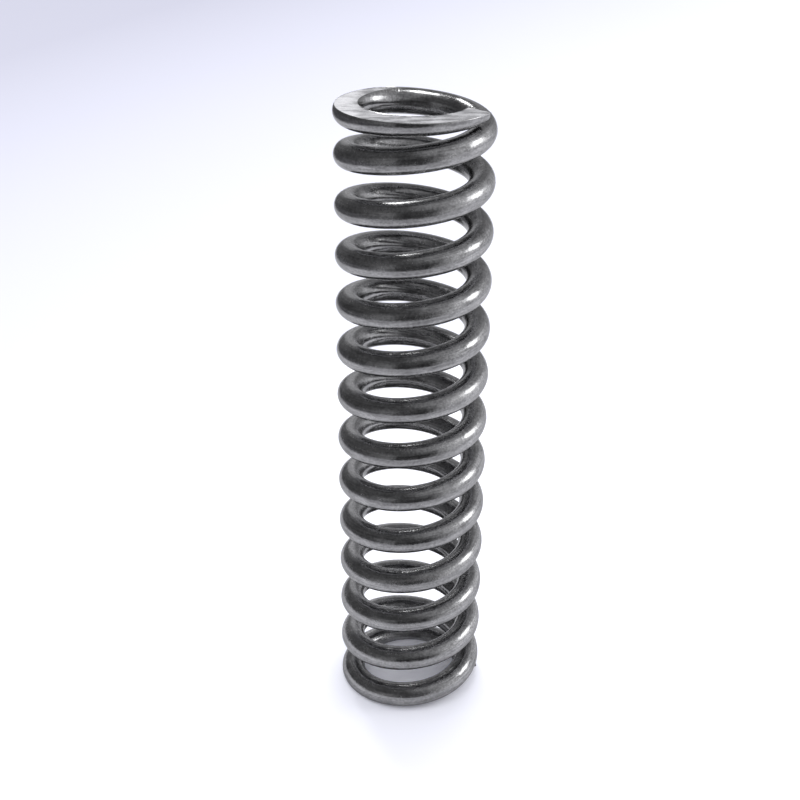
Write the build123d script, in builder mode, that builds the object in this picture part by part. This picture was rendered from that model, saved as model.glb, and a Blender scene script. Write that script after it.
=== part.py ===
"""Compression spring of round wire, right-hand coiled, with closed and ground ends.

Frame, in millimetres: the spring stands on its lower ground face at z = 0, its axis is Z,
and the azimuth of a point is measured from +X towards +Y.
"""
import os
from math import cos, pi, radians, sin

from build123d import *

# ---- wire and body -----------------------------------------------------------------------
outer_diameter = 18.0       # over the coils
wire_diameter = 3.0
free_length = 76.0          # between the two ground faces
total_turns = 13.95         # tip to tip
lower_tip_azimuth = -6.0    # degrees, where the wire begins

# ---- closed and ground ends: each end turn closes on its neighbour, then is ground flat ----
end_gap = 0.25              # left between a tip and the coil that it closes on
lower_closing_turns = 1.0   # over which the lead opens from closed to active
upper_closing_turns = 1.3
lower_tip_thickness = 1.15  # of wire that the grinding leaves at each tip
upper_tip_thickness = 1.4

# ---- centreline sampling -------------------------------------------------------------------
points_per_turn = 16

mean_radius = (outer_diameter - wire_diameter) / 2
wire_radius = wire_diameter / 2
closed_rise = wire_diameter + end_gap    # of the centreline over an end turn


def eased_turns(turns):
    """Integral of the smoothstep 3t^2 - 2t^3 from 0, which goes on at slope 1 past t = 1."""
    return turns**3 - turns**4 / 2 if turns < 1 else turns - 0.5


def closed_lead(lead, closing_turns):
    """Lead at a tip that gives the first whole turn from it a rise of closed_rise."""
    opened = closing_turns * eased_turns(1 / closing_turns)
    return (closed_rise - lead * opened) / (1 - opened)


def rise(turns, lead, closing_turns):
    """Height that the centreline gains in so many turns from a tip.

    The lead starts at its closed value and eases to the active one over closing_turns.
    """
    tip_lead = closed_lead(lead, closing_turns)
    eased = closing_turns * eased_turns(turns / closing_turns)
    return tip_lead * turns + (lead - tip_lead) * eased


def overall_rise(lead):
    """Height of the centreline from tip to tip."""
    half = total_turns / 2
    return rise(half, lead, lower_closing_turns) + rise(half, lead, upper_closing_turns)


# The centreline starts and ends this far from the ground faces, past them where negative.
lower_tip_height = lower_tip_thickness - wire_radius
upper_tip_height = upper_tip_thickness - wire_radius
centreline_rise = free_length - lower_tip_height - upper_tip_height

# The overall rise is linear in the lead, so two values of it give the active lead.
rise_at_zero = overall_rise(0)
active_lead = (centreline_rise - rise_at_zero) / (overall_rise(1) - rise_at_zero)


def centreline_point(turns):
    """Point of the wire's centreline, so many turns from the lower tip."""
    azimuth = radians(lower_tip_azimuth) + 2 * pi * turns
    if turns < total_turns / 2:
        height = lower_tip_height + rise(turns, active_lead, lower_closing_turns)
    else:
        left = total_turns - turns
        height = free_length - upper_tip_height - rise(left, active_lead, upper_closing_turns)
    return (mean_radius * cos(azimuth), mean_radius * sin(azimuth), height)


def tip_direction(turns, closing_turns):
    """Direction of the centreline at a tip, from the lead that it has there."""
    azimuth = radians(lower_tip_azimuth) + 2 * pi * turns
    run = 2 * pi * mean_radius
    return (-run * sin(azimuth), run * cos(azimuth), closed_lead(active_lead, closing_turns))


# ---- spring ----------------------------------------------------------------------------------
spans = round(total_turns * points_per_turn)
centreline = [centreline_point(total_turns * i / spans) for i in range(spans + 1)]
directions = [tip_direction(0, lower_closing_turns), tip_direction(total_turns, upper_closing_turns)]

with BuildPart() as coil_spring:
    with BuildLine() as wire_path:
        Spline(*centreline, tangents=directions, tangent_scalars=(1, 1))
    with BuildSketch(Plane(origin=wire_path.line @ 0, z_dir=wire_path.line % 0)):
        Circle(wire_radius)
    sweep(path=wire_path.line, is_frenet=True)
    split(bisect_by=Plane.XY, keep=Keep.TOP)
    split(bisect_by=Plane.XY.offset(free_length), keep=Keep.BOTTOM)

coil_spring.part.label = "coil_spring"

os.makedirs("parts", exist_ok=True)
export_step(coil_spring.part, "parts/coil_spring.step")
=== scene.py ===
"""A bare steel compression spring, closed and ground at both ends, standing on a pale sheet.

Lengths are in metres unless a name says otherwise. The spring's axis is Z, its lower ground
face is at z = 0, and azimuths are measured from +X towards +Y.
"""

import logging
from dataclasses import dataclass, field
from enum import Enum
from typing import Any

import bpy
import numpy as np
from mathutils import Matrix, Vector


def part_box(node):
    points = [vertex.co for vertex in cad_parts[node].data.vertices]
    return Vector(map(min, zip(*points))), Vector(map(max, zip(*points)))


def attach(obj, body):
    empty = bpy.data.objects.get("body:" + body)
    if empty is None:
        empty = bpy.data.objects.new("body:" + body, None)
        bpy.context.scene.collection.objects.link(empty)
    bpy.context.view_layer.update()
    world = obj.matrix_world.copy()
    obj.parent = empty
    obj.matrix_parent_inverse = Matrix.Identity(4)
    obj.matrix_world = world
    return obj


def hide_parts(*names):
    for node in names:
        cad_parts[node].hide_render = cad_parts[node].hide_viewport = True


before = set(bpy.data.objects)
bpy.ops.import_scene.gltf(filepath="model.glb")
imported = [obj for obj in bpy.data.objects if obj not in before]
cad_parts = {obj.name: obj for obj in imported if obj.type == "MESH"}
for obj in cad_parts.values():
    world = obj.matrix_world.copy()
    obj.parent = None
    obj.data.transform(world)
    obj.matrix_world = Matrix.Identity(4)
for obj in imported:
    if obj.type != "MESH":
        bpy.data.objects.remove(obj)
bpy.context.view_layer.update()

log = logging.getLogger("spring")

Rows = np.ndarray  # an array of points, or of one number for each ring of the wire


class End(Enum):
    """The two ground ends of the spring."""

    LOWER = "lower"
    UPPER = "upper"


class Finish(Enum):
    """The finishes on the spring, valued as the index of their material on the mesh."""

    DRAWN = 0
    GROUND = 1
    SHEARED = 2


# ---------------------------------------------------------------- the line of the wire


def smooth(value: Rows) -> Rows:
    """Return a step that eases from 0 to 1: three squares less two cubes of the clipped value."""
    t = np.clip(value, 0.0, 1.0)
    return t * t * (3.0 - 2.0 * t)


@dataclass(frozen=True)
class WireLine:
    """The centreline of the wire: one lead over the body, easing to a closed lead at each tip.

    Attributes:
        outer_radius: Over the coils.
        free_length: Between the two ground faces.
        wire_radius: Of the round wire.
        total_turns: From tip to tip.
        lower_tip_azimuth: Where the wire begins, in degrees.
        end_gap: Left between a tip and the coil that it closes on.
        closing_turns: Over which the lead opens, at the lower end and at the upper one.
        tip_thickness: Of the wire that the grinding leaves at each tip, in the same order.
    """

    outer_radius: float
    free_length: float
    wire_radius: float = 0.0015
    total_turns: float = 13.95
    lower_tip_azimuth: float = -6.0
    end_gap: float = 0.00025
    closing_turns: tuple[float, float] = (1.0, 1.3)
    tip_thickness: tuple[float, float] = (0.00115, 0.0014)

    @property
    def mean_radius(self) -> float:
        """Return the radius of the coil at the middle of the wire."""
        return self.outer_radius - self.wire_radius

    def tip_lead(self, lead: float, closing: float) -> float:
        """Return the lead at a tip that leaves the gap after the first turn.

        Args:
            lead: Of the body, a turn.
            closing: Turns over which the lead opens.

        Returns:
            What is left of the turn's rise after the body lead's share of it, over the rest.
        """
        opened = closing * self.eased(np.array([1.0 / closing]))[0]
        return (2.0 * self.wire_radius + self.end_gap - lead * opened) / (1.0 - opened)

    @staticmethod
    def eased(turns: Rows) -> Rows:
        """Return the area under the eased step: t^3 - t^4 / 2 up to one, then t - 1/2."""
        inside = np.minimum(turns, 1.0)
        return np.where(turns < 1.0, inside**3 - inside**4 / 2.0, turns - 0.5)

    def climb(self, turns: Rows, lead: float, closing: float) -> Rows:
        """Return the height climbed from a tip.

        Args:
            turns: From that tip.
            lead: Of the body, a turn.
            closing: Turns over which the lead opens.

        Returns:
            Tip lead times the turns, and the rest of the lead times their eased part.
        """
        first = self.tip_lead(lead, closing)
        return first * turns + (lead - first) * closing * self.eased(turns / closing)

    @property
    def tip_heights(self) -> tuple[float, float]:
        """Return how far the centreline stands inside each ground face at its tip."""
        return tuple(t - self.wire_radius for t in self.tip_thickness)

    @property
    def active_lead(self) -> float:
        """Return the body's lead that makes the two halves meet at the free length."""
        half = np.array([self.total_turns / 2.0])
        climbs = [
            sum(float(self.climb(half, lead, c)[0]) for c in self.closing_turns)
            for lead in (0.0, 1.0)
        ]
        return (self.free_length - sum(self.tip_heights) - climbs[0]) / (climbs[1] - climbs[0])

    def height(self, turns: Rows) -> Rows:
        """Return the centreline's height: climbed from the nearer tip."""
        lead, (low, high) = self.active_lead, self.tip_heights
        up = low + self.climb(turns, lead, self.closing_turns[0])
        left = self.total_turns - turns
        down = self.free_length - high - self.climb(left, lead, self.closing_turns[1])
        return np.where(turns < self.total_turns / 2.0, up, down)

    def azimuth(self, turns: Rows) -> Rows:
        """Return the azimuth in radians: the first tip's, and a full circle a turn."""
        return np.radians(self.lower_tip_azimuth) + 2.0 * np.pi * turns

    def frames(self, turns: Rows) -> tuple[Rows, Rows, Rows]:
        """Return the centre, the outward normal and the upward normal at each turn.

        Args:
            turns: From the lower tip, one for each ring.

        Returns:
            Three arrays of vectors. The outward normal is radial; the upward one is square to
            it and to the tangent, whose rise is the slope of the height.
        """
        a, step = self.azimuth(turns), 1e-4
        outward = np.stack([np.cos(a), np.sin(a), 0.0 * a], -1)
        around = np.stack([-np.sin(a), np.cos(a), 0.0 * a], -1)
        slope = (self.height(turns + step) - self.height(turns - step)) / (2.0 * step)
        pitch = np.arctan2(slope, 2.0 * np.pi * self.mean_radius)[..., None]
        upward = np.cos(pitch) * np.array([0.0, 0.0, 1.0]) - np.sin(pitch) * around
        centre = self.mean_radius * outward
        centre[..., 2] = self.height(turns)
        return centre, outward, upward

    def length_along(self, turns: Rows) -> Rows:
        """Return the wire's own length to each turn: the mean circle's arc, and the climb."""
        arc = 2.0 * np.pi * self.mean_radius * turns
        return np.hypot(arc, self.height(turns) - self.height(0.0 * turns))


# ---------------------------------------------------------------- mesh building


@dataclass
class Patch:
    """A grid of points on the spring and what its faces carry.

    Attributes:
        points: Places, on a grid of rows by columns.
        place: The same points in the wire's own frame, in millimetres: outward, upward and
            along the wire.
        rub: How rubbed bright each point is, from 0 to 1.
        finish: Of all the patch's faces.
        turned: Whether the faces point against rows times columns.
    """

    points: Rows
    place: Rows
    rub: Rows
    finish: Finish
    turned: bool = False

    def triangles(self) -> Rows:
        """Divide the patch into triangles.

        Returns:
            Two for each cell of the grid, as indices into its points.
        """
        rows, columns = self.points.shape[:2]
        index = np.arange(rows * columns).reshape(rows, columns)
        a, b = index[:-1, :-1].ravel(), index[1:, :-1].ravel()
        c, d = index[1:, 1:].ravel(), index[:-1, 1:].ravel()
        faces = np.concatenate([np.stack([a, b, c], -1), np.stack([a, c, d], -1)])
        return faces[:, ::-1] if self.turned else faces


WELD = 1e-8  # points that round to the same multiple of this become one


def joined(patches: list[Patch]) -> tuple[Rows, Rows, Rows, Rows, Rows]:
    """Join patches into one surface.

    Points that fall together within ten nanometres become one, and triangles that lose a
    corner by it are dropped. Edges whose points lie further apart stay open.

    Args:
        patches: In any order, with edges that share their points.

    Returns:
        Points, triangles, the finish index of each triangle, places and rubs.
    """
    points = np.concatenate([p.points.reshape(-1, 3) for p in patches])
    place = np.concatenate([p.place.reshape(-1, 3) for p in patches])
    rub = np.concatenate([p.rub.ravel() for p in patches])
    first = np.cumsum([0] + [p.rub.size for p in patches])
    faces = np.concatenate([p.triangles() + n for p, n in zip(patches, first)])
    finish = np.concatenate([np.full(len(p.triangles()), p.finish.value) for p in patches])
    keys = np.round(points / WELD).astype(np.int64)
    _, kept, same = np.unique(keys, axis=0, return_index=True, return_inverse=True)
    faces = same.ravel()[faces]
    whole = (faces != np.roll(faces, 1, axis=1)).all(axis=1)
    return points[kept], faces[whole], finish[whole], place[kept], rub[kept]


def mesh_of(name: str, points: Rows, faces: Rows) -> bpy.types.Mesh:
    """Make a triangle mesh from whole arrays.

    Args:
        name: Of the mesh.
        points: Its vertices.
        faces: Three indices a triangle.

    Returns:
        The mesh, without materials.
    """
    mesh = bpy.data.meshes.new(name)
    mesh.vertices.add(len(points))
    mesh.vertices.foreach_set("co", points.astype(np.float32).ravel())
    mesh.loops.add(faces.size)
    mesh.loops.foreach_set("vertex_index", faces.astype(np.int32).ravel())
    mesh.polygons.add(len(faces))
    mesh.polygons.foreach_set("loop_start", np.arange(0, faces.size, 3, dtype=np.int32))
    mesh.update(calc_edges=True)
    mesh.validate()
    return mesh


def ring_fan(rim: Rows, place: Rows, centre: Rows, middle: Rows, steps: Rows) -> tuple[Rows, Rows]:
    """Draw a rim in to one point.

    Args:
        rim: Points round a closed rim.
        place: Their places in the wire's frame.
        centre: Where the rim closes.
        middle: That point's place.
        steps: Shares of the way in, from 0 to 1.

    Returns:
        Points and places on a grid: rim + share x (centre - rim).
    """
    share = steps[:, None, None]
    return rim + share * (centre - rim), place + share * (middle - place)


@dataclass
class CoilSpring:
    """The whole spring: drawn wire, two ground faces and two sheared tips, in one mesh.

    It isn't quite closed: within 15 degrees of each tip, where the skew shifts the outer edge of
    the skin, that edge stands up to 0.02 mm off the edge of the ground face.

    Attributes:
        line: The centreline.
        rings_a_turn: Rings along the wire.
        half_columns: Points over half of the section.
        face_columns: Points across a ground face.
        lip: Width of the fine lip that the grinding leaves along a ground face.
        sink: How far the face lies below its lip.
        worn_edge: How far below a ground plane the drawn skin is rubbed bright.
        face_rub: How bright a ground face is away from its lip.
        tip_chamfer: Broken edge round a tip's sheared face.
        tip_steps: Shares of the way in at which the sheared face has rings.
        tip_skew: Degrees by which each tip runs further on its inner side, lower then upper.
        skew_fade: Turns over which that skew dies away.
        run_out_rings: Extra rings where a ground face narrows to nothing.
        run_out_reach: Square root of the turns that those rings take up.
        ring_gap: Turns that an even ring keeps from an extra one.
        name: Of the object and its mesh.
        turns: Of each ring, from the lower tip.
    """

    line: WireLine
    rings_a_turn: int = 120
    half_columns: int = 19
    face_columns: int = 13
    lip: float = 0.00008
    sink: float = 0.00003
    worn_edge: float = 0.00012
    face_rub: float = 0.35
    tip_chamfer: float = 0.00010
    tip_steps: tuple[float, ...] = (0.0, 0.12, 0.3, 0.6, 0.85, 1.0)
    tip_skew: tuple[float, float] = (8.0, 3.9)
    skew_fade: float = 0.05
    run_out_rings: int = 14
    run_out_reach: float = 0.24
    ring_gap: float = 0.0006
    name: str = "coil_spring_wire"
    turns: Rows = field(init=False)

    def __post_init__(self) -> None:
        """Set the turn of each ring: even steps, and closer ones where a ground face runs out."""
        line = self.line
        even = np.linspace(0.0, line.total_turns, round(line.total_turns * self.rings_a_turn) + 1)
        fine = np.linspace(0.0, self.run_out_reach, self.run_out_rings) ** 2
        low, high = self.run_out(End.LOWER), self.run_out(End.UPPER)
        near = np.concatenate([low - fine, high + fine])
        clear = np.abs(even[:, None] - near).min(axis=1) > self.ring_gap
        clear[[0, -1]] = True
        self.turns = np.sort(np.concatenate([even[clear], near]))

    def run_out(self, end: End) -> float:
        """Find where a ground face narrows to nothing, by halving.

        Args:
            end: Which face.

        Returns:
            The turn, within three turns of the tip.
        """
        total, reach, halvings = self.line.total_turns, 3.0, 48
        low, high = (0.0, reach) if end is End.LOWER else (total - reach, total)
        for _ in range(halvings):
            middle = (low + high) / 2.0
            cut = self.edge_sine(np.array([middle]), end)[0] < 1.0
            inward = cut if end is End.LOWER else not cut
            low, high = (middle, high) if inward else (low, middle)
        return (low + high) / 2.0

    def edge_sine(self, turns: Rows, end: End) -> Rows:
        """Return the sine of the section angle at which a ground plane meets the wire."""
        centre, _, upward = self.line.frames(turns)
        room = centre[..., 2] if end is End.LOWER else self.line.free_length - centre[..., 2]
        return room / (self.line.wire_radius * upward[..., 2])

    def edge_angle(self, turns: Rows, end: End) -> Rows:
        """Return that angle, a right angle where the plane clears the wire."""
        return np.arcsin(np.clip(self.edge_sine(turns, end), -1.0, 1.0))

    def on_wire(self, turns: Rows, angle: Rows) -> tuple[Rows, Rows]:
        """Return points on the round of the wire, and their places in the wire's frame.

        Args:
            turns: From the lower tip.
            angle: Round the section, from outward towards upward.

        Returns:
            Centre + radius x (cosine x outward + sine x upward), and the place in millimetres.
        """
        centre, outward, upward = self.line.frames(turns)
        radius = self.line.wire_radius
        cosine, sine = radius * np.cos(angle), radius * np.sin(angle)
        points = centre + cosine[..., None] * outward + sine[..., None] * upward
        along = self.line.length_along(turns)
        return points, 1000.0 * np.stack([cosine, sine, along], -1)

    def skewed(self, turns: Rows, angle: Rows) -> Rows:
        """Return the turns of skin points, run on or held back near a tip.

        Args:
            turns: Of the rings, on the grid.
            angle: Round the section.

        Returns:
            Turns less the upper tip's skew x cosine of the angle, and plus the lower tip's, each
            faded out away from its tip.
        """
        total, (low, high) = self.line.total_turns, self.tip_skew
        upper = high / 360.0 * smooth(1.0 - (total - turns) / self.skew_fade)
        lower = low / 360.0 * smooth(1.0 - turns / self.skew_fade)
        return turns - (upper - lower) * np.cos(angle)

    def skin(self) -> list[Patch]:
        """Build the round of the wire as an outer and an inner half.

        The outer half runs from the lower edge angle up to the upper one, and the inner half
        from the supplement of the upper one on to that of the lower one, evenly in angle. Where
        no plane cuts the wire, the halves meet at its top and its bottom.

        Returns:
            The two halves.
        """
        upper = self.edge_angle(self.turns, End.UPPER)[:, None]
        lower = self.edge_angle(self.turns, End.LOWER)[:, None]
        share = np.linspace(0.0, 1.0, self.half_columns)[None, :]
        outer = -lower + share * (upper + lower)
        inner = np.pi - upper + share * (upper + lower)
        patches = []
        for angle in (outer, inner):
            turns = self.skewed(np.broadcast_to(self.turns[:, None], angle.shape), angle)
            points, place = self.on_wire(turns, angle)
            self.hold(points)
            patches.append(Patch(points, place, self.skin_rub(points), Finish.DRAWN))
        return patches

    def hold(self, points: Rows) -> None:
        """Hold points between the two ground planes, in place."""
        points[..., 2] = np.clip(points[..., 2], 0.0, self.line.free_length)

    def skin_rub(self, points: Rows) -> Rows:
        """Return the wear of the drawn skin: none but near the two ground faces' edges."""
        near = np.minimum(points[..., 2], self.line.free_length - points[..., 2])
        return 1.0 - smooth(near / self.worn_edge)

    def ground_face(self, end: End) -> Patch:
        """Return a ground face, from its outer edge across to its inner one.

        Args:
            end: Which face.

        Returns:
            Edge + share x (other edge - edge), with columns crowded towards both edges, sunk by
            an eased step of the distance from the nearer edge, so that a fine lip stands round it.
        """
        lower, slack = end is End.LOWER, 1e-9
        out = self.run_out(end)
        own = self.turns <= out + slack if lower else self.turns >= out - slack
        turns = self.turns[own][:, None]
        edge = self.edge_angle(turns, end)
        sign = -1.0 if lower else 1.0
        first, first_place = self.on_wire(self.skewed(turns, sign * edge), sign * edge)
        other = sign * (np.pi - edge)
        last, last_place = self.on_wire(self.skewed(turns, other), other)
        across, crowding = np.linspace(0.0, 1.0, self.face_columns), 0.12
        share = (across - crowding * np.sin(2.0 * np.pi * across))[None, :, None]
        points = first + share * (last - first)
        place = first_place + share * (last_place - first_place)
        width = np.linalg.norm(last - first, axis=-1)
        rim = np.minimum(share[..., 0], 1.0 - share[..., 0]) * width
        level = 0.0 if lower else self.line.free_length
        points[..., 2] = level - sign * self.sink * smooth(rim / self.lip)
        rub = self.face_rub + (1.0 - self.face_rub) * (1.0 - smooth(rim / self.lip))
        return Patch(points, place, rub, Finish.GROUND, turned=lower)

    def tip(self, end: End) -> Patch:
        """Build the sheared face at a tip, a fan in from the last ring with a broken edge.

        Its triangles run against those of the skin, so they point into the wire.

        Args:
            end: Which tip.

        Returns:
            Rim + share x (centre - rim), where the rim goes round the skin and the ground face,
            pushed out along the wire by the chamfer x (an eased step of the share - half the
            share).
        """
        lower = end is End.LOWER
        turn = self.turns[:1, None] if lower else self.turns[-1:, None]
        above, below = self.edge_angle(turn, End.UPPER), self.edge_angle(turn, End.LOWER)
        share = np.linspace(0.0, 1.0, self.half_columns)[None, :]
        outer = -below + share * (above + below)
        inner = np.pi - above + share * (above + below)
        arcs = [self.on_wire(self.skewed(turn + 0.0 * a, a), a) for a in (outer, inner)]
        (right, right_place), (left, left_place) = [(p[0], q[0]) for p, q in arcs]
        face, row = self.ground_face(end), 0 if lower else -1
        flat, flat_place = face.points[row], face.place[row]
        if lower:
            rim = np.concatenate([right, left, flat[::-1]])
            place = np.concatenate([right_place, left_place, flat_place[::-1]])
        else:
            rim = np.concatenate([right, flat, left, right[:1]])
            place = np.concatenate([right_place, flat_place, left_place, right_place[:1]])
        self.hold(rim)
        steps = np.array(self.tip_steps)
        points, places = ring_fan(rim, place, rim.mean(axis=0), place.mean(axis=0), steps)
        bulge = self.tip_chamfer * (smooth(steps / steps[1]) - 0.5 * steps)
        points = points + bulge[:, None, None] * self.heading(end)
        self.hold(points)
        rub = np.broadcast_to((1.0 - smooth(steps / steps[2]))[:, None], points.shape[:2])
        return Patch(points, places, rub.copy(), Finish.SHEARED, turned=not lower)

    def heading(self, end: End) -> Rows:
        """Return the way that a tip points along the wire."""
        a = float(self.line.azimuth(self.turns[0] if end is End.LOWER else self.turns[-1]))
        around = np.array([-np.sin(a), np.cos(a), 0.0])
        return -around if end is End.LOWER else around

    def build(self) -> bpy.types.Object:
        """Build the mesh, with its places and wear as attributes, and link its object.

        Returns:
            The spring.
        """
        patches = self.skin()
        for end in End:
            patches += [self.ground_face(end), self.tip(end)]
        points, faces, finish, place, rub = joined(patches)
        mesh = mesh_of(self.name, points, faces)
        mesh.polygons.foreach_set("material_index", finish.astype(np.int32))
        mesh.polygons.foreach_set("use_smooth", finish == Finish.DRAWN.value)
        layer = mesh.attributes.new("wire_place", "FLOAT_VECTOR", "POINT")
        layer.data.foreach_set("vector", place.astype(np.float32).ravel())
        layer = mesh.attributes.new("rub", "FLOAT", "POINT")
        layer.data.foreach_set("value", rub.astype(np.float32))
        spring = bpy.data.objects.new(self.name, mesh)
        bpy.context.scene.collection.objects.link(spring)
        log.info("%s: %d points, %d triangles", self.name, len(points), len(faces))
        return spring

    def dress(self, spring: bpy.types.Object) -> None:
        """Give the spring its three finishes and its place in the frame.

        Args:
            spring: That build made.
        """
        for material in (DrawnSteel().make(), GroundSteel().make(), ShearedSteel().make()):
            spring.data.materials.append(material)
        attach(spring, "root")
        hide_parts("coil_spring")


# ---------------------------------------------------------------- finishes


class Graph:
    """Adds nodes to a node tree and joins them."""

    def __init__(self, tree: bpy.types.NodeTree) -> None:
        """Take the tree and clear it.

        Args:
            tree: Of a material, a world or a group.
        """
        self.tree = tree
        tree.nodes.clear()

    def add(self, kind: str, inputs: dict[Any, Any] | None = None, **settings: Any) -> Any:
        """Add one node.

        Args:
            kind: The node's type, without its ShaderNode prefix.
            inputs: Input names or numbers, each with a value or a socket to join.
            settings: The node's own properties.

        Returns:
            The node.
        """
        prefix = "" if kind.startswith("NodeGroup") else "ShaderNode"
        node = self.tree.nodes.new(prefix + kind)
        for key, value in settings.items():
            setattr(node, key, value)
        for key, value in (inputs or {}).items():
            if isinstance(value, bpy.types.NodeSocket):
                self.tree.links.new(value, node.inputs[key])
            else:
                node.inputs[key].default_value = value
        return node

    def math(self, operation: str, first: Any, second: Any = 0.0) -> Any:
        """Return the output of a Math node on two numbers or sockets."""
        return self.add("Math", {0: first, 1: second}, operation=operation).outputs[0]

    def span(self, value: Any, low: float, high: float, to: tuple[float, float] = (0, 1)) -> Any:
        """Return a value mapped by an eased step from low..high to the given range."""
        inputs = {"Value": value, "From Min": low, "From Max": high}
        inputs |= {"To Min": to[0], "To Max": to[1]}
        return self.add("MapRange", inputs, interpolation_type="SMOOTHSTEP").outputs[0]

    def noise(self, place: Any, scale: float, detail: float, rough: float = 0.5) -> Any:
        """Return the Fac output of a Noise Texture at a place."""
        inputs = {"Vector": place, "Scale": scale, "Detail": detail, "Roughness": rough}
        return self.add("TexNoise", inputs).outputs["Fac"]

    def blend(self, parts: tuple[tuple[Any, float], ...]) -> Any:
        """Add up values.

        Args:
            parts: Values, each with its weight.

        Returns:
            The sum of each value times its weight.
        """
        total: Any = 0.0
        for value, weight in parts:
            total = self.math("ADD", total, self.math("MULTIPLY", value, weight))
        return total

    def group(self, tree: bpy.types.NodeTree, inputs: dict[str, Any]) -> Any:
        """Return a node that stands for a group, with its inputs."""
        return self.add("Group", inputs, node_tree=tree)

    def mix(self, share: Any, first: Any, second: Any) -> Any:
        """Return a colour between two, by a share."""
        node = self.add("Mix", {0: share, 6: first, 7: second}, data_type="RGBA")
        return node.outputs[2]


def opaque(colour: tuple[float, float, float]) -> tuple[float, float, float, float]:
    """Return a colour with full alpha."""
    return (*colour, 1.0)


def group(name: str, inputs: dict[str, tuple[str, Any]], outputs: dict[str, str]) -> Any:
    """Start a shader node group.

    Args:
        name: Of the group.
        inputs: Names, each with its socket kind and default.
        outputs: Names, each with its socket kind.

    Returns:
        Its graph, its group-input node and its group-output node.
    """
    tree = bpy.data.node_groups.new(name, "ShaderNodeTree")
    for label, (kind, value) in inputs.items():
        socket = tree.interface.new_socket(label, in_out="INPUT", socket_type="NodeSocket" + kind)
        if value is not None:
            socket.default_value = value
    for label, kind in outputs.items():
        tree.interface.new_socket(label, in_out="OUTPUT", socket_type="NodeSocket" + kind)
    graph = Graph(tree)
    return graph, graph.add("NodeGroupInput"), graph.add("NodeGroupOutput")


def grain_group() -> bpy.types.NodeTree:
    """Make the group that draws fine lines along the wire, with softer bands beside them.

    Returns:
        The group: Lines and Bands are both noise, stretched along the wire.
    """
    wanted = {
        "Place": ("Vector", None),
        "Stretch": ("Float", 0.05),
        "Fineness": ("Float", 7.0),
    }
    contrast = (0.32, 0.68)
    graph, given, out = group("drawn_grain", wanted, {"Lines": "Float", "Bands": "Float"})
    stretch = graph.add("CombineXYZ", {0: 1.0, 1: 1.0, 2: given.outputs["Stretch"]}).outputs[0]
    place = graph.add(
        "VectorMath", {0: given.outputs["Place"], 1: stretch}, operation="MULTIPLY"
    ).outputs[0]
    lines = graph.noise(place, given.outputs["Fineness"], 4.0, 0.6)
    bands = graph.noise(place, graph.math("MULTIPLY", given.outputs["Fineness"], 0.25), 2.0)
    graph.tree.links.new(graph.span(lines, *contrast), out.inputs["Lines"])
    graph.tree.links.new(graph.span(bands, *contrast), out.inputs["Bands"])
    return graph.tree


def speck_group() -> bpy.types.NodeTree:
    """Make the group that scatters small specks, each of its own size.

    Returns:
        The group: Mask is 1 inside a speck, and a share of the cells hold one.
    """
    wanted = {
        "Place": ("Vector", None),
        "Spacing": ("Float", 1.0),
        "Size": ("Float", 0.1),
        "Share": ("Float", 0.3),
    }
    graph, given, out = group("specks", wanted, {"Mask": "Float"})
    scale = graph.math("DIVIDE", 1.0, given.outputs["Spacing"])
    cells = graph.add("TexVoronoi", {"Vector": given.outputs["Place"], "Scale": scale})
    dice = graph.add("SeparateColor", {0: cells.outputs["Color"]})
    chosen = graph.math("LESS_THAN", dice.outputs[0], given.outputs["Share"])
    reach = graph.math("MULTIPLY", dice.outputs[1], scale)
    reach = graph.math("MULTIPLY", reach, given.outputs["Size"])
    inside = graph.math("SUBTRACT", 1.0, graph.math("DIVIDE", cells.outputs["Distance"], reach))
    mask = graph.math("MULTIPLY", graph.span(inside, 0.0, 0.5), chosen)
    graph.tree.links.new(mask, out.inputs["Mask"])
    return graph.tree


@dataclass(frozen=True)
class Steel:
    """What the spring's three finishes share.

    Attributes:
        name: Of the material.
        dark: Base colour where the surface is dull.
        light: Base colour where it is bright.
        rough: Roughness, from the smoothest to the dullest places.
        edge: Tint of what it mirrors at a glancing angle.
    """

    name: str = "steel"
    dark: tuple[float, float, float] = (0.2, 0.2, 0.2)
    light: tuple[float, float, float] = (0.4, 0.4, 0.4)
    rough: tuple[float, float] = (0.2, 0.35)
    edge: float = 0.6

    def finish(
        self, graph: Graph, shade: Any, dull: Any, height: Any, depth: float, under: Any = None
    ) -> None:
        """End the material with a metal shader.

        Args:
            graph: Of the material.
            shade: From 0, dark, to 1, light.
            dull: From 0, smooth, to 1, dull.
            height: Of the fine relief, from 0 to 1.
            depth: Of that relief, in metres.
            under: A normal that the relief lies on, if any.
        """
        base = graph.mix(shade, opaque(self.dark), opaque(self.light))
        rough = graph.span(dull, 0.0, 1.0, self.rough)
        bump = graph.add("Bump", {"Strength": 1.0, "Distance": depth, "Height": height})
        if under is not None:
            graph.tree.links.new(under, bump.inputs["Normal"])
        inputs = {
            "Base Color": base,
            "Metallic": 1.0,
            "Specular Tint": opaque((self.edge,) * 3),
            "Roughness": rough,
            "Normal": bump.outputs["Normal"],
        }
        shader = graph.add("BsdfPrincipled", inputs)
        graph.add("OutputMaterial", {"Surface": shader.outputs[0]})

    def start(self) -> tuple[bpy.types.Material, Graph]:
        """Return a new material and its graph."""
        material = bpy.data.materials.new(self.name)
        material.use_nodes = True
        return material, Graph(material.node_tree)


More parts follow.
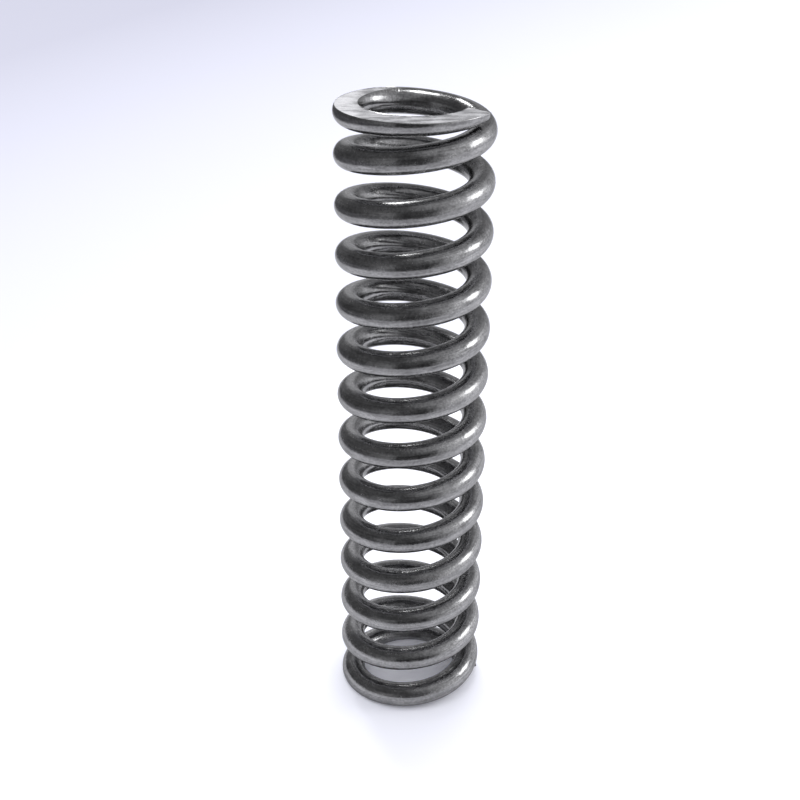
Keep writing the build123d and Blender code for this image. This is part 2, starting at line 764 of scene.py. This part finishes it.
@dataclass(frozen=True)
class DrawnSteel(Steel):
    """Bare drawn spring wire: satin, darkened by heat, with drawing lines and small pits.

    Attributes:
        relief: Depth of the fine relief, in metres.
        waves: Depth of the slow waves that break up a highlight, in metres.
        mottle: Clouds of shade, a millimetre.
        speckle: Fine spots of shade, a millimetre.
        swell: Slow waves, a millimetre.
        pits: Spacing and size of the pits in millimetres, and the share of places with one.
    """

    name: str = "drawn_spring_wire"
    dark: tuple[float, float, float] = (0.12, 0.12, 0.122)
    light: tuple[float, float, float] = (0.49, 0.49, 0.495)
    rough: tuple[float, float] = (0.15, 0.29)
    edge: float = 0.6
    relief: float = 0.0000025
    waves: float = 0.000016
    mottle: float = 0.7
    speckle: float = 4.0
    swell: float = 1.6
    pits: tuple[float, float, float] = (0.8, 0.15, 0.4)

    def make(self) -> bpy.types.Material:
        """Make the material.

        Returns:
            The material. Its shade, dullness and relief are sums of the drawn grain, two
            noises, the pits and the wear, in the wire's own frame.
        """
        material, graph = self.start()
        place = graph.add("Attribute", attribute_name="wire_place").outputs["Vector"]
        rub = graph.add("Attribute", attribute_name="rub").outputs["Fac"]
        grain = graph.group(grain_group(), {"Place": place})
        lines, bands = grain.outputs["Lines"], grain.outputs["Bands"]
        wanted = dict(zip(("Spacing", "Size", "Share"), self.pits))
        pit = graph.group(speck_group(), {"Place": place, **wanted}).outputs["Mask"]
        mottle = graph.span(graph.noise(place, self.mottle, 3.0, 0.6), 0.3, 0.7)
        speckle = graph.span(graph.noise(place, self.speckle, 3.0, 0.7), 0.32, 0.68)
        wave = graph.noise(place, self.swell, 2.0)
        clean = graph.math("SUBTRACT", 1.0, graph.math("MULTIPLY", pit, 0.9))
        parts = ((bands, 0.20), (lines, 0.20), (mottle, 0.24), (speckle, 0.36), (rub, 0.6))
        shade = graph.math("MULTIPLY", graph.blend(parts), clean)
        dull = graph.blend(((speckle, 0.2), (mottle, 0.45), (bands, 0.35), (pit, 0.5)))
        height = graph.blend(((lines, 0.5), (speckle, 0.8), (pit, -2.5)))
        swell = graph.add("Bump", {"Strength": 1.0, "Distance": self.waves, "Height": wave})
        self.finish(graph, shade, dull, height, self.relief, swell.outputs["Normal"])
        return material


@dataclass(frozen=True)
class GroundSteel(Steel):
    """A ground end: bright bare steel with the wheel's straight marks.

    Attributes:
        relief: Depth of the marks, in metres.
        lay: Turn of the marks about Z, in radians.
        marks: Marks a metre, along them and across.
        mottle: Spots a metre.
        painted_sheen: From x to x, in metres, the face turns from painted sheen to plain.
        parts: Weights of marks, mottle, wear of the lip and painted sheen in the shade, and a
            level.
    """

    name: str = "ground_end"
    dark: tuple[float, float, float] = (0.16, 0.16, 0.168)
    light: tuple[float, float, float] = (0.98, 0.98, 1.0)
    rough: tuple[float, float] = (0.20, 0.34)
    edge: float = 0.9
    relief: float = 0.000002
    lay: float = 0.12
    marks: tuple[float, float] = (240.0, 1100.0)
    mottle: float = 700.0
    painted_sheen: tuple[float, float] = (-0.0072, -0.0055)
    parts: tuple[float, ...] = (0.55, 0.45, 0.20, 0.55, -0.24)

    def make(self) -> bpy.types.Material:
        """Make the material.

        Returns:
            The material. Its shade is a sum of the marks, a mottle, the wear of the lip and
            a painted sheen towards -X, and its relief is the marks.
        """
        material, graph = self.start()
        place = graph.add("TexCoord").outputs["Object"]
        rub = graph.add("Attribute", attribute_name="rub").outputs["Fac"]
        inputs = {"Vector": place, "Rotation": (0.0, 0.0, self.lay), "Scale": (*self.marks, 1.0)}
        marks = graph.add("Mapping", inputs).outputs[0]
        lines = graph.span(graph.noise(marks, 1.0, 3.0, 0.6), 0.35, 0.65)
        mottle = graph.span(graph.noise(place, self.mottle, 4.0, 0.6), 0.3, 0.7)
        across = graph.add("SeparateXYZ", {0: place}).outputs[0]
        # Painted sheen: the base colour brightens towards -X, a painted highlight on that side of
        # the face.
        painted_sheen = graph.span(across, *self.painted_sheen, (1.0, 0.0))
        shade = graph.blend(tuple(zip((lines, mottle, rub, painted_sheen, 1.0), self.parts)))
        dull = graph.blend(((mottle, 0.6), (lines, 0.4)))
        self.finish(graph, shade, dull, lines, self.relief)
        return material


@dataclass(frozen=True)
class ShearedSteel(Steel):
    """The cut end of the wire: dull, coarse and dark.

    Attributes:
        relief: Depth of the coarse relief, in metres.
        grain: Its grains, a metre.
    """

    name: str = "sheared_tip"
    dark: tuple[float, float, float] = (0.03, 0.03, 0.032)
    light: tuple[float, float, float] = (0.16, 0.16, 0.165)
    rough: tuple[float, float] = (0.35, 0.55)
    relief: float = 0.00002
    grain: float = 2600.0

    def make(self) -> bpy.types.Material:
        """Make the material.

        Returns:
            The material. Its shade is the coarse noise and the broken edge's wear.
        """
        material, graph = self.start()
        place = graph.add("TexCoord").outputs["Object"]
        rub = graph.add("Attribute", attribute_name="rub").outputs["Fac"]
        coarse = graph.noise(place, self.grain, 4.0, 0.65)
        shade = graph.blend(((coarse, 0.5), (rub, 0.6)))
        self.finish(graph, shade, coarse, coarse, self.relief)
        return material


# ---------------------------------------------------------------- studio


@dataclass(frozen=True)
class Lobe:
    """A soft bright area of the room.

    Attributes:
        azimuth: Of its middle, in degrees.
        elevation: Of its middle, in degrees.
        reach: Degrees from its middle to where it ends.
        core: Degrees over which it is even.
        level: Radiance that it adds.
    """

    azimuth: float
    elevation: float
    reach: float
    core: float
    level: float

    def towards(self) -> tuple[float, float, float]:
        """Return the unit vector to its middle."""
        a, e = np.radians(self.azimuth), np.radians(self.elevation)
        return (float(np.cos(e) * np.cos(a)), float(np.cos(e) * np.sin(a)), float(np.sin(e)))

    def level_at(self, graph: Graph, way: Any) -> Any:
        """Return the level that the lobe adds in a direction.

        Args:
            graph: Of the world.
            way: The direction, as a socket.

        Returns:
            The level, as a socket: an eased step of the cosine of the angle to the middle.
        """
        near = graph.add("VectorMath", {0: way, 1: self.towards()}, operation="DOT_PRODUCT")
        low, high = (float(np.cos(np.radians(d))) for d in (self.reach, self.core))
        return graph.span(near.outputs["Value"], low, high, (0.0, self.level))


@dataclass(frozen=True)
class Pane:
    """An upright oblong of the room, with its own sharpness at each side.

    Attributes:
        turned: Degrees of its two sides, from -Y towards +X.
        side_soft: Degrees over which each side fades.
        raised: Degrees of its foot and its head.
        soft: Degrees over which those fade.
        level: Radiance that it adds, or takes where negative.
    """

    turned: tuple[float, float]
    side_soft: tuple[float, float]
    raised: tuple[float, float]
    soft: float
    level: float

    def level_at(self, graph: Graph, way: Any) -> Any:
        """Return the level that the pane adds in a direction.

        Args:
            graph: Of the world.
            way: The direction, as a socket.

        Returns:
            The level, as a socket: the pane's own, times an eased step at each of its sides.
        """
        parts = graph.add("SeparateXYZ", {0: way})
        back = graph.math("MULTIPLY", parts.outputs[1], -1.0)
        angle = graph.math("ARCTAN2", parts.outputs[0], back)
        rise = graph.math("ARCSINE", parts.outputs[2])
        edges = (
            (angle, self.turned[0], self.side_soft[0], 1.0),
            (angle, self.turned[1], self.side_soft[1], -1.0),
            (rise, self.raised[0], self.soft, 1.0),
            (rise, self.raised[1], self.soft, -1.0),
        )
        share: Any = self.level
        for value, edge, soft, sign in edges:
            low, high = (float(np.radians(edge + sign * d * soft / 2.0)) for d in (-1.0, 1.0))
            ends = (0.0, 1.0) if sign > 0.0 else (1.0, 0.0)
            step = graph.span(value, min(low, high), max(low, high), ends)
            share = graph.math("MULTIPLY", share, step)
        return share


@dataclass(frozen=True)
class Lamp:
    """A round soft lamp that faces the spring.

    Attributes:
        name: Of the lamp.
        azimuth: Of its place, in degrees.
        elevation: Of its place, in degrees.
        away: How far from the middle of the spring it stands.
        across: Its diameter.
        watts: Its power.
        middle: Height of the spring's middle.
    """

    name: str
    azimuth: float
    elevation: float
    away: float
    across: float
    watts: float
    middle: float = 0.038

    def build(self) -> None:
        """Build the lamp: its face looks back along the line from the spring's middle."""
        a, e = np.radians(self.azimuth), np.radians(self.elevation)
        way = np.array([np.cos(e) * np.cos(a), np.cos(e) * np.sin(a), np.sin(e)])
        light = bpy.data.lights.new(self.name, "AREA")
        light.shape = "DISK"
        light.size = self.across
        light.energy = self.watts
        lamp = bpy.data.objects.new(self.name, light)
        bpy.context.scene.collection.objects.link(lamp)
        lamp.location = (np.array([0.0, 0.0, self.middle]) + self.away * way).tolist()
        lamp.rotation_euler = (float(np.pi / 2.0 - e), 0.0, float(a + np.pi / 2.0))


@dataclass(frozen=True)
class Studio:
    """The pale sheet, the room round it and the lamps.

    Attributes:
        room: Level of the unlit room, as a mirror shows it.
        room_colour: Of the room.
        fill: Level of the soft light on the sheet, from above.
        fill_low: Share of the fill that comes from low down.
        fill_rise: Heights of a direction, from 0 to 1, between which the fill rises to its level.
        fill_colour: Of the fill.
        lobes: The room's soft bright areas.
        panes: Its upright screens.
        lamps: Round and soft.
        sheet: Corners of the pale sheet, as x and y lows and highs.
        sheet_colour: Of the sheet.
        far_shade_colours: Of its far part, from its near edge to the far left: painted shade.
        far_start: From y to y, the sheet turns to its far part.
        far_lean: How much faster the far part darkens to the left than away.
        far_fade: Leaning distance over which it goes from its first colour to its last.
        mirrored: Its colour as the steel mirrors it, darker than seen: painted shade.
        mirrored_painted_shade: That colour at the far left, a painted shade.
        mirrored_left: From x to x, it goes from the dark to its own colour.
        mirrored_front: From y to y, it reaches its own colour in full.
        mirrored_low: Share of the way to its own colour that it keeps in front of those: painted
            shade.
        glow: What a sight of the sheet gains, so that it stands white.
    """

    room: float = 0.135
    room_colour: tuple[float, float, float] = (1.0, 1.0, 1.03)
    fill: float = 1.40
    fill_low: float = 0.2
    fill_rise: tuple[float, float] = (0.3, 0.85)
    fill_colour: tuple[float, float, float] = (0.98, 0.98, 1.03)
    lobes: tuple[Lobe, ...] = (
        Lobe(3.0, -10.0, 77.0, 0.0, 0.85),
        Lobe(-32.0, 53.0, 50.0, 0.0, 0.38),
        Lobe(63.0, -15.0, 90.0, 20.0, 0.28),
        Lobe(92.0, 14.0, 18.0, 4.0, 0.60),
    )
    panes: tuple[Pane, ...] = (
        Pane((-62.0, -29.0), (40.0, 1.5), (-14.0, 26.0), 12.0, 0.19),
        Pane((-28.0, 23.0), (1.5, 8.0), (-24.0, 17.0), 8.0, -0.06),
    )
    lamps: tuple[Lamp, ...] = (
        Lamp("side_softbox", 4.0, 26.0, 0.36, 0.15, 0.22),
        Lamp("overhead_softbox", 82.0, 75.0, 0.61, 0.19, 0.95),
        Lamp("rear_softbox", 111.0, 49.0, 1.5, 0.25, 3.0),
    )
    sheet: tuple[tuple[float, float], tuple[float, float]] = ((-0.8, 1.6), (-0.12, 2.4))
    sheet_colour: tuple[float, float, float] = (0.91, 0.92, 0.97)
    far_shade_colours: tuple[tuple[float, float, float], ...] = (
        (0.75, 0.765, 0.84),
        (0.485, 0.49, 0.565),
    )
    far_start: tuple[float, float] = (0.096, 0.100)
    far_lean: float = 2.5
    far_fade: tuple[float, float] = (0.06, 0.8)
    mirrored: tuple[float, float, float] = (0.78, 0.78, 0.79)
    mirrored_painted_shade: tuple[float, float, float] = (0.1, 0.1, 0.1)
    mirrored_left: tuple[float, float] = (-0.15, -0.11)
    mirrored_front: tuple[float, float] = (-0.05, -0.01)
    mirrored_low: float = 0.6
    glow: tuple[float, float, float] = (0.08, 0.08, 0.09)

    def build(self) -> None:
        """Build the room, the sheet and the lamps."""
        self.make_room()
        self.make_sheet()
        for lamp in self.lamps:
            lamp.build()
        log.info("studio: room, sheet and %d lamps", len(self.lamps))

    def make_room(self) -> None:
        """Make the world.

        It is white where it is seen straight, soft overhead light where it lights the sheet, and
        a dim room with soft bright areas and screens where the steel mirrors it.
        """
        world = bpy.data.worlds.new("room")
        world.use_nodes = True
        bpy.context.scene.world = world
        graph = Graph(world.node_tree)
        way = graph.add("TexCoord").outputs["Generated"]
        level: Any = self.room
        for part in (*self.lobes, *self.panes):
            level = graph.math("ADD", level, part.level_at(graph, way))
        path = graph.add("LightPath")
        room = graph.add("Background", {"Color": opaque(self.room_colour), "Strength": level})
        height = graph.add("SeparateXYZ", {0: way}).outputs[2]
        overhead = graph.span(height, *self.fill_rise, (self.fill_low * self.fill, self.fill))
        soft = graph.add("Background", {"Color": opaque(self.fill_colour), "Strength": overhead})
        white = graph.add("Background", {"Color": opaque((1.0, 1.0, 1.0)), "Strength": 1.0})
        inputs = {0: path.outputs["Is Diffuse Ray"], 1: room.outputs[0], 2: soft.outputs[0]}
        lit = graph.add("MixShader", inputs)
        inputs = {0: path.outputs["Is Camera Ray"], 1: lit.outputs[0], 2: white.outputs[0]}
        graph.add("OutputWorld", {"Surface": graph.add("MixShader", inputs).outputs[0]})

    def make_sheet(self) -> None:
        """Make the pale sheet that the spring stands on, with a glow that only sight gains."""
        (x0, x1), (y0, y1) = self.sheet
        grid = np.stack(np.meshgrid([x0, x1], [y0, y1], indexing="ij"), -1).reshape(-1, 2)
        points = np.concatenate([grid, np.zeros((4, 1))], axis=1)
        mesh = mesh_of("pale_sheet", points, np.array([[0, 2, 3], [0, 3, 1]]))
        sheet = bpy.data.objects.new("pale_sheet", mesh)
        bpy.context.scene.collection.objects.link(sheet)
        material = bpy.data.materials.new("pale_sheet")
        material.use_nodes = True
        graph = Graph(material.node_tree)
        path = graph.add("LightPath")
        paper = graph.add("BsdfDiffuse", {"Color": self.sheet_paint(graph, path)})
        seen = graph.math("MAXIMUM", path.outputs["Is Camera Ray"], path.outputs["Is Glossy Ray"])
        seen = graph.math("MAXIMUM", seen, path.outputs["Is Transmission Ray"])
        glow = graph.add("Emission", {"Color": opaque(self.glow), "Strength": seen})
        both = graph.add("AddShader", {0: paper.outputs[0], 1: glow.outputs[0]})
        graph.add("OutputMaterial", {"Surface": both.outputs[0]})
        mesh.materials.append(material)

    def sheet_paint(self, graph: Graph, path: Any) -> Any:
        """Return the sheet's colour, with painted shade: by place where seen, and where mirrored.

        Args:
            graph: Of the sheet's material.
            path: Its Light Path node.

        Returns:
            The colour, as a socket. The far part fades with y less the lean times x.
        """
        x, y, _ = graph.add("SeparateXYZ", {0: graph.add("TexCoord").outputs["Object"]}).outputs
        # Painted shade: the sheet's far part is darker, and darkens further away and faster to the
        # left.
        away = graph.math("SUBTRACT", y, graph.math("MULTIPLY", x, self.far_lean))
        near, last = self.far_fade
        inputs = {"Value": away, "From Min": near, "From Max": last}
        far = graph.mix(graph.add("MapRange", inputs).outputs[0], *map(opaque, self.far_shade_colours))
        colour = graph.mix(graph.span(y, *self.far_start), opaque(self.sheet_colour), far)
        # Painted shade where the steel mirrors the sheet: darker than seen, darkest at the far
        # left, darker in front.
        front = graph.span(y, *self.mirrored_front, (self.mirrored_low, 1.0))
        lit = graph.math("MULTIPLY", graph.span(x, *self.mirrored_left), front)
        mirrored = graph.mix(lit, opaque(self.mirrored_painted_shade), opaque(self.mirrored))
        return graph.mix(path.outputs["Is Glossy Ray"], colour, mirrored)


@dataclass(frozen=True)
class Viewpoint:
    """The camera.

    Attributes:
        place: Of the lens.
        down: Degrees by which it looks down.
        roll: Radians by which it is turned about its own axis.
        lens: Focal length for a sensor 36 mm wide, in millimetres.
        shift: Sideways, in widths of the frame.
    """

    place: tuple[float, float, float] = (-0.0016632, -0.1382859, 0.1092226)
    down: float = 26.569
    roll: float = 0.004465
    lens: float = 57.778
    shift: float = 0.0019

    def build(self) -> None:
        """Build the camera: it looks along +Y, tilted down, then rolled about its own axis."""
        data = bpy.data.cameras.new("camera")
        data.sensor_width = 36.0
        data.lens = self.lens
        data.shift_x = self.shift
        data.clip_start = 0.005
        data.clip_end = 20.0
        camera = bpy.data.objects.new("camera", data)
        bpy.context.scene.collection.objects.link(camera)
        camera.location = self.place
        tilt, roll = np.radians(90.0 - self.down), self.roll
        turn_x = np.array(
            [[1, 0, 0], [0, np.cos(tilt), -np.sin(tilt)], [0, np.sin(tilt), np.cos(tilt)]]
        )
        turn_z = np.array(
            [[np.cos(roll), -np.sin(roll), 0], [np.sin(roll), np.cos(roll), 0], [0, 0, 1]]
        )
        turned = turn_x @ turn_z
        camera.rotation_mode = "XYZ"
        camera.rotation_euler = (
            float(np.arctan2(turned[2, 1], turned[2, 2])),
            float(-np.arcsin(turned[2, 0])),
            float(np.arctan2(turned[1, 0], turned[0, 0])),
        )
        bpy.context.scene.camera = camera
        log.info("camera: %.1f mm lens, %.2f degrees down", self.lens, self.down)


def main() -> None:
    """Build the camera, the studio and the spring, and report each."""
    logging.basicConfig(level=logging.INFO, format="%(name)s: %(message)s")
    bpy.context.scene.view_settings.view_transform = "Standard"
    Viewpoint().build()
    Studio().build()
    low, high = (np.array(corner, dtype=float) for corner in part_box("coil_spring"))
    line = WireLine(outer_radius=float(high[0] - low[0]) / 2.0, free_length=float(high[2]))
    coil = CoilSpring(line)
    spring = coil.build()
    coil.dress(spring)


if __name__ == "__main__":
    main()
